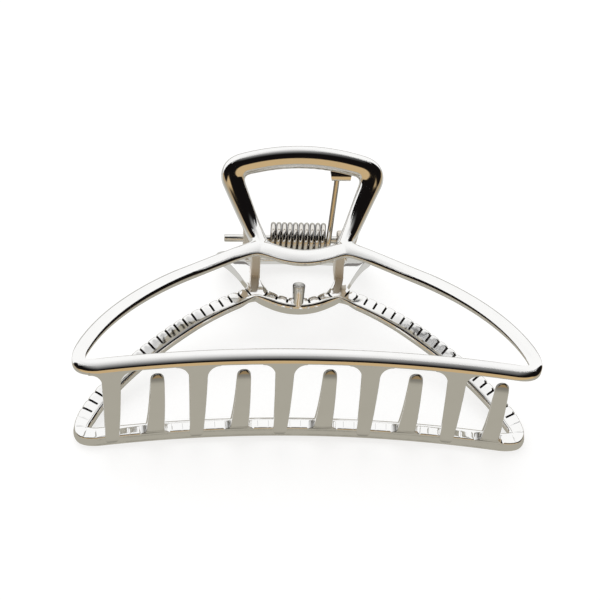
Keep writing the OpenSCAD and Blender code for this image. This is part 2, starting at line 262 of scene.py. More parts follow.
def softCrownGroup():
    # leans the normals of a bar's outside, as on a casting polished almost flat
    group, result = newTree("softCrown", "ShaderNodeTree", [], [("Normal", "NodeSocketVector")])[::2]
    leaning = newNode(group, "ShaderNodeAttribute", attribute_name="crownLean")
    toWorld = newNode(group, "ShaderNodeVectorTransform",
                      vector_type="VECTOR", convert_from="OBJECT", convert_to="WORLD")
    surface = newNode(group, "ShaderNodeNewGeometry")
    both = newNode(group, "ShaderNodeVectorMath", operation="ADD")
    unit = newNode(group, "ShaderNodeVectorMath", operation="NORMALIZE")
    nodeLink(group, leaning, "Vector", toWorld, "Vector")
    nodeLink(group, surface, "Normal", both, 0)
    nodeLink(group, toWorld, "Vector", both, 1)
    nodeLink(group, both, "Vector", unit, 0)
    nodeLink(group, unit, "Vector", result, "Normal")
    return group


finishGroup = platedFinishGroup()
crownGroup = softCrownGroup()


def maskedMix(tree, kind, maskName, under, value):
    # from what lies under to one value, by an attribute painted on the mesh
    first, second, mixed = mixSockets[kind]
    mask = newNode(tree, "ShaderNodeAttribute", attribute_name=maskName)
    mix = newNode(tree, "ShaderNodeMix", {second: value}, data_type=kind)
    nodeLink(tree, mask, "Fac", mix, "Factor")
    tree.links.new(under, mix.inputs[first])
    return mix.outputs[mixed]


def metalMaterial(name, look):
    made = bpy.data.materials.new(name)
    made.use_nodes = True
    tree = made.node_tree
    shader = tree.nodes["Principled BSDF"]
    shader.inputs["Metallic"].default_value = 1.0
    place = newNode(tree, "ShaderNodeTexCoord")
    stretch = newNode(tree, "ShaderNodeMapping", {"Scale": look["stretch"]})
    finish = newNode(tree, "ShaderNodeGroup", node_tree=finishGroup, values={
        "Haze Scale": look["hazeScale"],
        "Roughness Low": look["roughness"][0], "Roughness High": look["roughness"][1],
        "Bright": (*look["bright"], 1), "Dull": (*look["dull"], 1),
    })
    relief = newNode(tree, "ShaderNodeBump", {"Strength": look["bump"], "Distance": plating["relief"]})
    nodeLink(tree, place, "Object", stretch, "Vector")
    nodeLink(tree, stretch, "Vector", finish, "Vector")
    nodeLink(tree, finish, "Height", relief, "Height")
    color, roughness = finish.outputs["Color"], finish.outputs["Roughness"]
    # painted shade: a darker colour wherever the mask on the mesh says, in slits and other hollows
    if "slit" in look:
        color = maskedMix(tree, "RGBA", "slitDark", color, (*look["slit"], 1))
    if "raw" in look:
        color = maskedMix(tree, "RGBA", "rawCast", color, (*look["raw"], 1))
        roughness = maskedMix(tree, "FLOAT", "rawCast", roughness, look["rawRoughness"])
        crown = newNode(tree, "ShaderNodeGroup", node_tree=crownGroup)
        nodeLink(tree, crown, "Normal", relief, "Normal")
    tree.links.new(color, shader.inputs["Base Color"])
    tree.links.new(roughness, shader.inputs["Roughness"])
    nodeLink(tree, relief, "Normal", shader, "Normal")
    return made


# bright and dull are the plating, slit the colour of the painted shade in slits, between the spring's turns
# and on other marked places, raw the lugs as they were cast
finishes = {
    "jawPlating": {"stretch": (1, 1, 1), "hazeScale": 220.0, "roughness": (0.05, 0.1), "bump": 0.05,
                   "bright": (0.97, 0.968, 0.96), "dull": (0.93, 0.925, 0.91),
                   "slit": (0.02, 0.017, 0.015), "raw": (0.88, 0.83, 0.76), "rawRoughness": 0.5},
    "pinSteel": {"stretch": (0.2, 1, 1), "hazeScale": 900.0, "roughness": (0.1, 0.2), "bump": 0.05,
                 "bright": (0.9, 0.89, 0.87), "dull": (0.82, 0.81, 0.78)},
    "springSteel": {"stretch": (1, 1, 1), "hazeScale": 700.0, "roughness": (0.04, 0.1), "bump": 0.05,
                    "bright": (0.86, 0.84, 0.8), "dull": (0.78, 0.75, 0.7),
                    "slit": (0.09, 0.065, 0.045)},
}
materials = {name: metalMaterial(name, look) for name, look in finishes.items()}
print("materials:", ", ".join(materials))

# bars of the open frame
bars = {
    "shoulder": 3.1, "lower": 3.0, "neck": 3.2, "leg": 3.4, "loop": 5.2,  # widths
    "thickness": 3.2, "neckThickness": 4.2, "neckPower": 4, "wall": 1.7,
    "jointEdge": 0.25, "outerEdge": 0.45, "windowEdge": 1.1, "loopEdge": 0.5,  # roundings of the inner face
    "flatShares": (0.15, 0.35, 0.7), "roundSteps": 5, "crownSteps": 9,  # points of half a section
    "step": 0.45, "pathSamples": 900,
    "crotchRound": 0.35, "crotchLead": 1.5, "joinLead": 0.7,  # where two bars part
    "bodyBlend": 6.0, "loopBlend": 6.0, "neckBlend": 4.0,  # how far from the joint that reaches
    "cornerReach": 11, "cornerClear": 3,  # in stations
    "rim": 1.5, "rimClear": 0.01,
}
# leans of the normals on the polished outside: foot of the wall, half way up, its top, and the crown;
# a pair is a wish: a turn from the ridge, and the elevation of the room to be seen there, in degrees
lean = {
    "viewLift": 45.8,  # elevation of the photograph's view over the table
    "lower": ((90.0, 2.0), (90.0, 18.0), (90.0, 38.0), (72.0, 76.0)),
    "shoulder": ((90.0, -30.0), (90.0, 4.0), (90.0, 48.0), (70.0, 78.0)),
    "neck": ((90.0, -30.0), (90.0, 8.0), (90.0, 90.0), (80.0, 95.0)),
    "far": (0.0, 0.1, 0.12, 0.15), "jointBlend": 8.0,
    "leg": 0.17, "legTo": Vector((0, -1, 0)), "legStart": (3.0, 11.0), "legEnd": (11.0, 19.0),
    "pegEnd": Vector((0, 0.6, 1)),
}
# slits cut into the inner face from one edge of body and neck, with low domes between them
grip = {
    "pitch": 2.5, "start": 2.4, "halfWidth": 0.27, "lip": 0.05, "depth": 0.6, "past": 0.5,
    "dome": 0.3, "domePower": 3, "fallPower": 2,
    # the fine marks on the lower bar are nearly flat and are painted as faint lines of shade
    "lowerDepth": 0.02, "lowerShade": 0.25, "lowerHalf": 0.1,  # fine marks on the lower bar
}


def lowerAt(x):
    return Vector((x, clip["lowerS"] - clip["barArch"] * (x / clip["cornerX"]) ** 2))


def topAt(x):
    return Vector((x, clip["topS"] - clip["loopRise"] * (2 * x / clip["loopWidth"]) ** 2))


def neckAt(x):
    return Vector((x, clip["jointS"] - clip["neckDip"] * (1 - (x / clip["jointX"]) ** 2)))


leanSine = math.sin(math.radians(clip["sideLean"]))
cornerInset = clip["cornerCut"] * leanSine / (1 + leanSine)
clip["cornerX"] = clip["jawWidth"] / 2 - bars["shoulder"] / 2 + cornerInset
joint = Vector((clip["jointX"], clip["jointS"]))
corner = lowerAt(clip["cornerX"])
sideDir = Vector((-leanSine, math.cos(math.radians(clip["sideLean"]))))
sideEnd = corner + sideDir * clip["cornerCut"]
lowerEnd = lowerAt(clip["cornerX"] - clip["cornerCut"])
slope = math.radians(clip["shoulderSlope"])
shoulderOut = joint + Vector((math.cos(slope), -math.sin(slope))) * clip["shoulderReach"]
shoulderIn = sideEnd + sideDir * clip["sideReach"]
loopCorner = Vector((clip["loopWidth"] / 2, clip["loopS"]))
legTop = loopCorner - (loopCorner - joint).normalized() * clip["loopCut"]
topEnd = topAt(clip["loopWidth"] / 2 - clip["loopCut"])


def sampled(curve, count):
    return [curve(i / count) for i in range(count + 1)]


def bothSides(half):
    return half + [mirrored(p) for p in reversed(half[:-1])]


many = bars["pathSamples"]
shoulderHalf = sampled(lambda t: bezier([joint, shoulderOut, shoulderIn, sideEnd], t), many)
cornerHalf = sampled(lambda t: bezier([sideEnd, corner, lowerEnd], t), many)
lowerHalf = sampled(lambda t: lowerAt(lowerEnd[0] * (1 - t)), many)
legHalf = sampled(lambda t: joint.lerp(legTop, t), many)
loopTurn = sampled(lambda t: bezier([legTop, loopCorner, topEnd], t), many)
topHalf = sampled(lambda t: topAt(topEnd[0] * (1 - t)), many)
bodyPath = bothSides(shoulderHalf + cornerHalf[1:] + lowerHalf[1:])
loopPath = bothSides(legHalf + loopTurn[1:] + topHalf[1:])
neckPath = sampled(lambda t: neckAt(clip["jointX"] * (1 - 2 * t)), 2 * many)


def lengthOf(path):
    return sum((b - a).length for a, b in zip(path, path[1:]))


shoulderLength = lengthOf(shoulderHalf)
cornerLength = lengthOf(cornerHalf)


def plainStations(length):
    count = math.ceil(length / bars["step"])
    return [(length * i / count, 0.0, 0.0) for i in range(count + 1)]


def ribbedStations(length, depthAt):
    # distances along a bar, each with the depth of a slit there and the fall of the dome beside it
    count = round((length - 2 * grip["start"]) / grip["pitch"])
    pitch = (length - 2 * grip["start"]) / count
    lip = grip["lip"]
    stations = []
    last = 0.0
    for k in range(count + 2):
        middle = grip["start"] + pitch * k
        half = grip["halfWidth"] if depthAt(middle) > grip["lowerDepth"] else grip["lowerHalf"]
        before = middle - half if k <= count else length
        fall = grip["dome"] * depthAt(last) / grip["depth"]
        fill = math.ceil((before - last) / bars["step"])
        for i in range(fill):
            t = i / fill
            edge = t if k == 0 else 1 - t if k == count + 1 else abs(2 * t - 1)
            stations.append((last + (before - last) * t, 0.0, fall * edge ** grip["domePower"]))
        if k <= count:
            depth = depthAt(middle)
            stations += [(before, 0.0, fall), (before + lip, depth, fall),
                         (middle + half - lip, depth, fall), (middle + half, 0.0, fall)]
            last = middle + half
    return stations + [(length, 0.0, 0.0)]


def pointsAlong(path, distances):
    # points and directions at those distances along a finely sampled path
    found = []
    index = 0
    gone = 0.0
    for distance in distances:
        while index < len(path) - 2 and gone + (path[index + 1] - path[index]).length < distance:
            gone += (path[index + 1] - path[index]).length
            index += 1
        piece = path[index + 1] - path[index]
        part = min(max((distance - gone) / piece.length, 0), 1)
        found.append((path[index].lerp(path[index + 1], part), piece.normalized()))
    return found


def meetPoint(pathA, wideA, pathB, wideB):
    # where the left edge of bar A meets the right edge of bar B, and the way into their crotch
    a = (pathA[1] - pathA[0]).normalized()
    b = (pathB[1] - pathB[0]).normalized()
    p = joint + leftOf(a) * wideA
    q = joint - leftOf(b) * wideB
    run = ((q[0] - p[0]) * b[1] - (q[1] - p[1]) * b[0]) / (a[0] * b[1] - a[1] * b[0])
    into = (a + b).normalized()
    return p + a * run + into * bars["crotchRound"], into


outerMeet = meetPoint(bodyPath, bars["shoulder"] / 2, loopPath, bars["leg"] / 2)
lowerMeet = meetPoint(neckPath, bars["neck"] / 2, bodyPath, bars["shoulder"] / 2)
upperMeet = meetPoint(loopPath, bars["leg"] / 2, neckPath, bars["neck"] / 2)


def edgeLine(stations, track, halfWidth, side, meet, blend):
    # one edge of a bar: its offset line, led round into the crotch at both joints
    start, into = meet
    length = stations[-1][0]
    (anchorPoint, anchorDir), = pointsAlong(track["path"], [blend])
    first = anchorPoint + leftOf(anchorDir) * halfWidth(blend) * side
    startDir = (track["path"][1] - track["path"][0]).normalized()
    across = (startDir - into * startDir.dot(into)).normalized()
    reach = (first - start).length
    lead = [start, start + across * bars["crotchRound"] * bars["crotchLead"],
            first - anchorDir * reach * bars["joinLead"], first]
    edge = []
    for (distance, depth, fall), (point, direction) in zip(stations, track["points"]):
        fromEnd = min(distance, length - distance)
        if fromEnd >= blend:
            edge.append(point + leftOf(direction) * halfWidth(distance) * side)
        elif distance < length / 2:
            edge.append(bezier(lead, fromEnd / blend))
        else:
            edge.append(mirrored(bezier(lead, fromEnd / blend)))
    return edge


def rounded(edge, reach):
    # a moving mean over that many points to each side, clear of the ends, fills a window's sharp corners
    soft = list(edge)
    clear = bars["cornerClear"] * reach
    for i in range(clear, len(edge) - clear):
        soft[i] = sum(edge[i - reach:i + reach + 1], Vector((0, 0))) / (2 * reach + 1)
    return soft


def leanFor(s, wish):
    # how strongly the normal there has to lean to the ridge for that wish
    aside = math.radians(wish[0])
    ridge = 90 - clip["layTilt"] - math.degrees(faceAngle(s))
    tipped = math.radians(ridge - (lean["viewLift"] + wish[1]) / 2)
    return math.sin(aside) / math.tan(tipped) - math.cos(aside)


def neckDeep(p):
    # the neck is thicker than the bars that it joins
    swell = 1 - (p.x / clip["jointX"]) ** bars["neckPower"]
    return 1 + (bars["neckThickness"] / bars["thickness"] - 1) * swell


def halfSection(p, edge, turn, depth, fall, cut, deep, flare, bulge):
    # half of the section, from beside the middle of the inner face round to just before the ridge
    wide = (edge - p).length
    reach = wide + flare
    flat = (reach - turn) / wide

    def sunk(share):
        if cut:
            return depth + fall * share ** grip["fallPower"]
        return depth if share < grip["past"] * flat else 0

    points = [(share * flat, sunk(share * flat)) for share in bars["flatShares"]]
    for k in range(bars["roundSteps"] + 1):
        a = math.pi / 2 * k / bars["roundSteps"]
        share = (reach - turn + turn * math.sin(a)) / wide
        points.append((share, sunk(share) + turn * (1 - math.cos(a))))
    crownWide = 1 + bulge / wide
    points.append(((points[-1][0] + crownWide) / 2, (points[-1][1] + deep * bars["wall"]) / 2))
    for k in range(bars["crownSteps"]):
        a = math.pi / 2 * k / bars["crownSteps"]
        height = bars["wall"] + (bars["thickness"] - bars["wall"]) * math.sin(a)
        points.append((crownWide * math.cos(a), deep * height))
    return [onFace(p.lerp(edge, share), height) for share, height in points]


def barRings(path, stations, halfWidth, meets, blend, turns, cutSide=0, deepAt=lambda p: 1,
             spreadAt=lambda d: (0, 0), leanAt=None, leanTo=None, cornerReach=0):
    # sections along a bar, the points of painted shade in its slits, and the leans of its normals
    track = {"path": path, "points": pointsAlong(path, [d for d, depth, fall in stations])}
    left = rounded(edgeLine(stations, track, halfWidth, 1, meets[0], blend), cornerReach)
    right = edgeLine(stations, track, halfWidth, -1, meets[1], blend)
    length = stations[-1][0]
    flatCount = len(bars["flatShares"])
    pastCount = sum(share < grip["past"] for share in bars["flatShares"])
    roundCount = flatCount + bars["roundSteps"] + 1
    rings, slits, leans = [], [], []
    for (distance, depth, fall), (p, direction), leftEdge, rightEdge in zip(
            stations, track["points"], left, right):
        deep = deepAt(p)
        settled = min(min(distance, length - distance) / blend, 1)
        through = depth > grip["lowerDepth"]
        # painted shade: full in the cut slits, faint in the fine marks of the lower bar
        dark = 1.0 if through else grip["lowerShade"]
        halves = []
        for edge, turn, side in ((leftEdge, turns[0], 1), (rightEdge, turns[1], -1)):
            turnHere = bars["jointEdge"] + (turn - bars["jointEdge"]) * settled
            flare, bulge = (spread * settled for spread in spreadAt(distance))
            cut = side == cutSide
            halves.append(halfSection(p, edge, turnHere, depth, fall, cut, deep,
                                      0 if cut else flare, bulge if cut else 0))
            # painted shade: the points in a slit take its dark value
            if depth > 0:
                count = flatCount if not through else roundCount if cut else pastCount
                slits += [(q, dark) for q in halves[-1][:count]]
        middle = onFace(p, depth)
        if depth > 0:
            slits.append((middle, dark))
        ridge = onFace(p, deep * bars["thickness"])
        rings.append([middle] + halves[0] + [ridge] + list(reversed(halves[1])))
        if leanAt:
            out = leanTo or onFace(p, 1) - onFace(p, 0)
            for half, (foot, halfWay, top, crown) in zip(halves, leanAt(distance, p.y)):
                # round the edge, up the wall, and over the crown from its second step on
                strengths = [foot * k / bars["roundSteps"] for k in range(bars["roundSteps"])]
                strengths += [foot, halfWay, top, (top + crown) / 2] + [crown] * (bars["crownSteps"] - 2)
                leans += [(q, out * k) for q, k in zip(half[-len(strengths):], strengths)]
            leans.append((ridge, out * crown))
    return rings, slits, leans


def tubeFaces(ringCount, around, start):
    # four-sided faces between rings of points that follow each other
    faces = []
    for i in range(ringCount - 1):
        for k in range(around):
            a = start + i * around + k
            b = start + i * around + (k + 1) % around
            faces.append((a, a + around, b + around, b))
    return faces


def openFrame(form):
    # body, thumb loop and neck as three tubes that close on each other at the joints
    bodyLength = lengthOf(bodyPath)
    loopLength = lengthOf(loopPath)
    legLength = lengthOf(legHalf)
    neckLength = lengthOf(neckPath)

    def alongBody(distance, values):
        # from the value on the shoulders to the value on the lower bar
        fromEnd = min(distance, bodyLength - distance)
        share = min(max((fromEnd - shoulderLength) / cornerLength, 0), 1)
        return values[0] + (values[1] - values[0]) * share

    def bodyHalfWidth(distance):
        return alongBody(distance, (bars["shoulder"], bars["lower"])) / 2

    def bodyLean(distance, s):
        # left and right half; on the front jaw full on the side towards the teeth, near the joint as the neck
        if form["wallLean"]:
            return ([alongBody(distance, (0, k)) for k in form["wallLean"]],
                    [alongBody(distance, (k, 0)) for k in form["windowLean"]])
        share = min(min(distance, bodyLength - distance) / lean["jointBlend"], 1)
        full = []
        for neck, shoulder, lower in zip(lean["neck"], lean["shoulder"], lean["lower"]):
            body = alongBody(distance, (leanFor(s, shoulder), leanFor(s, lower)))
            full.append(leanFor(s, neck) * (1 - share) + body * share)
        return ([alongBody(distance, pair) for pair in zip(lean["far"], full)],
                [alongBody(distance, pair) for pair in zip(full, lean["far"])])

    def neckLean(distance, s):
        return [leanFor(s, wish) for wish in lean["neck"]], lean["far"]

    def legLean(distance, s):
        strength = lean["leg"] * smoothStep(*lean["legStart"], s) * (1 - smoothStep(*lean["legEnd"], s))
        half = [strength] * len(lean["far"])
        return half, half

    def loopHalfWidth(distance):
        fromEnd = min(distance, loopLength - distance)
        share = min(fromEnd / legLength, 1)
        return (bars["leg"] + (bars["loop"] - bars["leg"]) * share) / 2

    def bodyDepth(distance):
        pastSide = min(distance, bodyLength - distance) > shoulderLength
        return grip["lowerDepth"] if pastSide else grip["depth"]

    def bodySpread(distance):
        return alongBody(distance, form["flare"]), alongBody(distance, form["bulge"])

    tubes = [
        barRings(bodyPath, ribbedStations(bodyLength, bodyDepth), bodyHalfWidth, (outerMeet, lowerMeet),
                 bars["bodyBlend"], (bars["outerEdge"], bars["windowEdge"]), cutSide=1,
                 spreadAt=bodySpread, leanAt=bodyLean),
        barRings(loopPath, plainStations(loopLength), loopHalfWidth, (upperMeet, outerMeet),
                 bars["loopBlend"], (bars["loopEdge"], bars["loopEdge"]),
                 leanAt=None if form["wallLean"] else legLean, leanTo=lean["legTo"],
                 cornerReach=bars["cornerReach"]),
        barRings(neckPath, ribbedStations(neckLength, lambda d: grip["depth"]), lambda d: bars["neck"] / 2,
                 (lowerMeet, upperMeet), bars["neckBlend"], (bars["windowEdge"], bars["outerEdge"]),
                 cutSide=-1, deepAt=neckDeep, leanAt=None if form["wallLean"] else neckLean),
    ]
    vertices, faces, slits, leans = [], [], [], []
    for rings, ringSlits, ringLeans in tubes:
        faces += tubeFaces(len(rings), len(rings[0]), len(vertices))
        vertices += [p for ring in rings for p in ring]
        slits += ringSlits
        leans += ringLeans
    return cleanMesh(meshObject("openFrame", vertices, faces), weld["frame"]), slits, leans


# a vertex takes a painted value from a point of the merged pieces that is this near, in millimetres
near = {"lug": 0.01, "dark": 0.01, "lean": 0.05}


def valuesNear(mesh, marks, within, none):
    # for each vertex the value of the mark at its place
    tree = KDTree(len(marks))
    for i, (p, value) in enumerate(marks):
        tree.insert(p, i)
    tree.balance()
    values = []
    for vertex in mesh.vertices:
        p, i, distance = tree.find(vertex.co)
        values.append(marks[i][1] if distance < within else none)
    return values


def surfaceTree(parts):
    # for the distance of a point from the surface of those parts
    points, faces = [], []
    for part in parts:
        start = len(points)
        points += [v.co.copy() for v in part.data.vertices]
        faces += [[i + start for i in face.vertices] for face in part.data.polygons]
    return BVHTree.FromPolygons(points, faces)


def paintCasting(mesh, darkMarks, leans, turn, lugTree):
    # painted shade darkens slits, tooth ends, one side of each tooth foot and the peg's sides; lugs as they
    # were cast, and normals lean as the bars ask
    raw = [1.0 if lugTree.find_nearest(v.co)[3] < near["lug"] else 0.0 for v in mesh.vertices]
    paintPoints(mesh, "rawCast", "FLOAT", "value", raw)
    paintPoints(mesh, "slitDark", "FLOAT", "value", valuesNear(mesh, darkMarks, near["dark"], 0.0))
    turnedLeans = [c for v in valuesNear(mesh, leans, near["lean"], Vector()) for c in turn @ v]
    paintPoints(mesh, "crownLean", "FLOAT_VECTOR", "vector", turnedLeans)


def drawIn(mesh):
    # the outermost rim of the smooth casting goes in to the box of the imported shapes
    for axis in range(3):
        for sign, limit in ((-1, -cadBox[0][axis]), (1, cadBox[1][axis])):
            far = max(sign * v.co[axis] for v in mesh.vertices)
            start = limit - bars["rim"] * mm
            room = limit - bars["rimClear"] * mm - start
            if far <= limit:
                continue
            for v in mesh.vertices:
                over = sign * v.co[axis] - start
                if over > 0:
                    v.co[axis] = sign * (start + over * room / (far - start))


# teeth: one shape, set along the lower bar and stretched to the other jaw
teeth = {
    "count": 5, "first": -2.26, "pitch": 19.3,
    "rootWidth": 4.3, "tipWidth": 3.0, "rootThick": 2.3, "tipThick": 1.6, "sag": 1.6,
    "tipReach": 0.2, "tipGap": 0.4, "inset": 0.02, "sink": 0.8, "edge": 0.35, "edgeLimit": 2.2,
    "filletSteps": 10, "bodySteps": 22, "tipSteps": 9, "edgeSteps": 3, "tipTurn": 86, "tipLength": 2.2,
    "length": 24.4, "tipShade": 0.5, "tipFade": (0.9, 2.6),
}


def toothRing(u, wide, thick, middle):
    # a flat section with rounded edges, at that share of the way from the root at zero to the tip
    drop = teeth["inset"] + teeth["tipGap"] + teeth["tipThick"]
    below = max(u, 0)
    y = -drop * below - 4 * teeth["sag"] * below * (1 - u)  # a parabola that sags most half way
    z = -teeth["length"] * u
    half = wide / 2
    turn = min(teeth["edge"], thick / teeth["edgeLimit"], wide / teeth["edgeLimit"])
    low = y + middle - thick / 2
    corners = [(half, low, 0), (-half, low, 90), (-half, low + thick, 180), (half, low + thick, 270)]
    ring = []
    for x, edgeY, startAngle in corners:
        centreX = x - math.copysign(turn, x)
        centreY = edgeY + (turn if edgeY == low else -turn)
        for k in range(teeth["edgeSteps"] + 1):
            a = math.radians(startAngle + 90 * k / teeth["edgeSteps"])
            ring.append(Vector((centreX + turn * math.cos(a), centreY - turn * math.sin(a), z)))
    return ring


def toothShape(fillet):
    # foot with fillets at both sides, tapered body, round tip
    long = teeth["length"]
    filletU = fillet / long
    tipU = 1 - teeth["tipLength"] / long

    def widthAt(u):
        return teeth["rootWidth"] + (teeth["tipWidth"] - teeth["rootWidth"]) * u

    def thickAt(u):
        return teeth["rootThick"] + (teeth["tipThick"] - teeth["rootThick"]) * u

    rings = [toothRing(-teeth["sink"] / long, widthAt(0) + 2 * fillet, teeth["rootThick"],
                       teeth["rootThick"] / 2)]
    for k in range(teeth["filletSteps"] + 1):
        a = math.pi / 2 * k / teeth["filletSteps"]
        u = filletU * (1 - math.cos(a))
        wide = widthAt(u) + 2 * fillet * (1 - math.sin(a))
        rings.append(toothRing(u, wide, thickAt(u), thickAt(u) / 2))
    for k in range(1, teeth["bodySteps"] + 1):
        u = filletU + (tipU - filletU) * k / teeth["bodySteps"]
        rings.append(toothRing(u, widthAt(u), thickAt(u), thickAt(u) / 2))
    for k in range(1, teeth["tipSteps"] + 1):
        a = math.radians(teeth["tipTurn"]) * k / teeth["tipSteps"]
        u = tipU + (1 - tipU) * math.sin(a)
        rings.append(toothRing(u, widthAt(u) * math.cos(a), thickAt(u) * math.cos(a), thickAt(u) / 2))
    around = len(rings[0])
    vertices = [p for ring in rings for p in ring]
    faces = tubeFaces(len(rings), around, 0)
    faces.append(tuple(range(around)))
    faces.append(tuple(range(len(vertices) - around, len(vertices))))
    return cleanMesh(meshObject("toothShape", vertices, faces), weld["tooth"])


def toothRowTree():
    # one tooth on each root point, as long as that point's reach says and turned by its slant
    tree, given, result = newTree(
        "toothRow", "GeometryNodeTree",
        [("Roots", "NodeSocketGeometry"), ("Tooth", "NodeSocketObject"), ("Material", "NodeSocketMaterial")],
        [("Teeth", "NodeSocketGeometry")])
    tooth = newNode(tree, "GeometryNodeObjectInfo")
    reach = newNode(tree, "GeometryNodeInputNamedAttribute", {"Name": "reach"}, data_type="FLOAT")
    slant = newNode(tree, "GeometryNodeInputNamedAttribute", {"Name": "slant"}, data_type="FLOAT")
    scale = newNode(tree, "ShaderNodeCombineXYZ", {"X": 1, "Y": 1})
    turn = newNode(tree, "ShaderNodeCombineXYZ")
    place = newNode(tree, "GeometryNodeInstanceOnPoints")
    real = newNode(tree, "GeometryNodeRealizeInstances")
    paint = newNode(tree, "GeometryNodeSetMaterial")
    nodeLink(tree, given, "Tooth", tooth, "Object")
    nodeLink(tree, given, "Roots", place, "Points")
    nodeLink(tree, tooth, "Geometry", place, "Instance")
    nodeLink(tree, reach, "Attribute", scale, "Z")
    nodeLink(tree, scale, "Vector", place, "Scale")
    nodeLink(tree, slant, "Attribute", turn, "Z")
    nodeLink(tree, turn, "Vector", place, "Rotation")
    nodeLink(tree, place, "Instances", real, "Geometry")
    nodeLink(tree, real, "Geometry", paint, "Geometry")
    nodeLink(tree, given, "Material", paint, "Material")
    nodeLink(tree, paint, "Geometry", result, "Teeth")
    return tree


def setInputs(modifier, values):
    # by the identifiers of the sockets
    for item in modifier.node_group.interface.items_tree:
        if item.item_type == "SOCKET" and item.in_out == "INPUT" and item.name in values:
            modifier[item.identifier] = values[item.name]


def toothRow(tree, fillet, footShade):
    roots, reaches, slants = [], [], []
    for i in range(teeth["count"]):
        x = (teeth["first"] + i) * teeth["pitch"]
        root = onFace(lowerAt(x) - Vector((0, bars["lower"] / 2 - teeth["inset"])), 0)
        roots.append(root)
        reaches.append((2 * root.z + teeth["tipReach"]) / teeth["length"])
        slants.append(math.atan(-2 * clip["barArch"] * x / clip["cornerX"] ** 2))
    row = meshObject("toothRoots", roots, [])
    paintPoints(row.data, "reach", "FLOAT", "value", reaches)
    paintPoints(row.data, "slant", "FLOAT", "value", slants)
    shape = toothShape(fillet)
    modifier = row.modifiers.new("toothRow", "NODES")
    modifier.node_group = tree
    setInputs(modifier, {"Tooth": shape, "Material": materials["jawPlating"]})
    mesh = evaluatedMesh(row)
    bpy.data.objects.remove(row)
    bpy.data.objects.remove(shape)
    # painted shade: the tips are painted darker, and so is the fillet on one side of each foot
    each = len(mesh.vertices) // teeth["count"]
    shades = []
    for i, root in enumerate(roots):
        tooth = [v.co.copy() for v in mesh.vertices[i * each:i * each + each]]
        end = min(p.z for p in tooth)
        for p in tooth:
            out = p.x - root.x - teeth["rootWidth"] / 2
            # painted shade in the fillet on one side of the foot
            foot = footShade * (1 - smoothStep(0, fillet, out)) if out > 0 else 0
            tip = teeth["tipShade"] * (1 - smoothStep(*teeth["tipFade"], p.z - end))
            shades.append((p, max(foot, tip)))
    return addObject("toothRow", mesh), shades


# hinge lugs and pin
hinge = {
    "pin": 1.8, "run": 0.05, "pinOver": 4.5, "pinBevel": 0.2,
    "lugSpace": 18.2, "lugThick": 1.9, "lugRound": 2.3, "lugGap": 0.4,
    "footStart": 4.3, "footEnd": 9.5, "footThick": 1.16, "sink": 0.8, "edge": 0.35,
    "edgeSteps": 5, "arcSteps": 24, "around": 72,
    "parallel": 1e-9, "slack": 1e-6,  # for rays that run along a side or meet a corner of the outline
}
# neck peg and spring tab; the lip turns by so many half turns
fittings = {
    "pegTop": 3.0, "pegFoot": 2.5, "pegLength": 4.6, "pegTilt": 23.0, "pegEdge": 0.35, "pegSink": 1.07,
    "pegShade": (0.5, 1.6), "around": 40,
    "tabX": 9.2, "tabWidth": 5.6, "tabDrop": 2.3, "tabThick": 0.9, "tabTaper": 0.5, "tabSink": 1.0,
    "tabOff": 0.2, "tabColumns": 13, "lipRound": 0.55, "lipTurn": 1.25, "lipSteps": 16,
}
hinge["rearX"] = hinge["lugSpace"] / 2
hinge["frontX"] = hinge["rearX"] + hinge["lugThick"] + hinge["lugGap"]


def rayToOutline(outline, direction):
    # distance from the hinge axis to a convex outline, along a direction in the side view
    best = 0.0
    for a, b in zip(outline, outline[1:] + outline[:1]):
        side = b - a
        cross = direction[0] * side[1] - direction[1] * side[0]
        if abs(cross) < hinge["parallel"]:
            continue
        along = (a[0] * side[1] - a[1] * side[0]) / cross
        share = (a[0] * direction[1] - a[1] * direction[0]) / cross
        if along > 0 and -hinge["slack"] <= share <= 1 + hinge["slack"]:
            best = max(best, along)
    return best


def lug(x, bore):
    # a plate round the bore, drawn out to its foot on the loop, with rounded rims
    low = onFace((0, clip["jointS"] + hinge["footStart"]), hinge["sink"]).yz
    high = onFace((0, clip["jointS"] + hinge["footEnd"]), hinge["sink"]).yz
    size = hinge["lugRound"]
    startDir = Vector((-low[1], low[0])).normalized()
    endDir = Vector((high[1], -high[0])).normalized()
    fromAngle = math.atan2(startDir[1], startDir[0])
    toAngle = math.atan2(endDir[1], endDir[0])
    while toAngle < fromAngle:
        toAngle += 2 * math.pi
    outline = []
    for k in range(hinge["arcSteps"] + 1):
        a = fromAngle + (toAngle - fromAngle) * k / hinge["arcSteps"]
        outline.append(Vector((math.cos(a), math.sin(a))) * size)
    outline += [high, low]
    around = hinge["around"]
    edge = hinge["edge"]
    thick = hinge["lugThick"]
    quarter = [math.pi / 2 * k / hinge["edgeSteps"] for k in range(hinge["edgeSteps"] + 1)]
    rounding = [(edge * (1 - math.sin(a)), edge * (1 - math.cos(a))) for a in quarter]
    farRim = [(back, thick - across) for back, across in reversed(rounding)]
    profile = [(None, 0)] + rounding + farRim + [(None, thick)]  # None stands at the bore
    vertices = []
    for k in range(around):
        a = 2 * math.pi * k / around
        direction = Vector((math.cos(a), math.sin(a)))
        far = rayToOutline(outline, direction)
        grow = 1 + (hinge["footThick"] - 1) * (far - size) / (high.length - size)
        for back, across in profile:
            p = direction * (bore if back is None else far - back)
            swell = 1 if back is None else grow
            vertices.append(Vector((x + thick / 2 + (across - thick / 2) * swell, p[0], p[1])))
    n = len(profile)
    faces = []
    for k in range(around):
        after = (k + 1) % around
        for j in range(n):
            faces.append((k * n + j, k * n + (j + 1) % n, after * n + (j + 1) % n, after * n + j))
    return cleanMesh(meshObject("lug", vertices, faces), weld["fitting"])


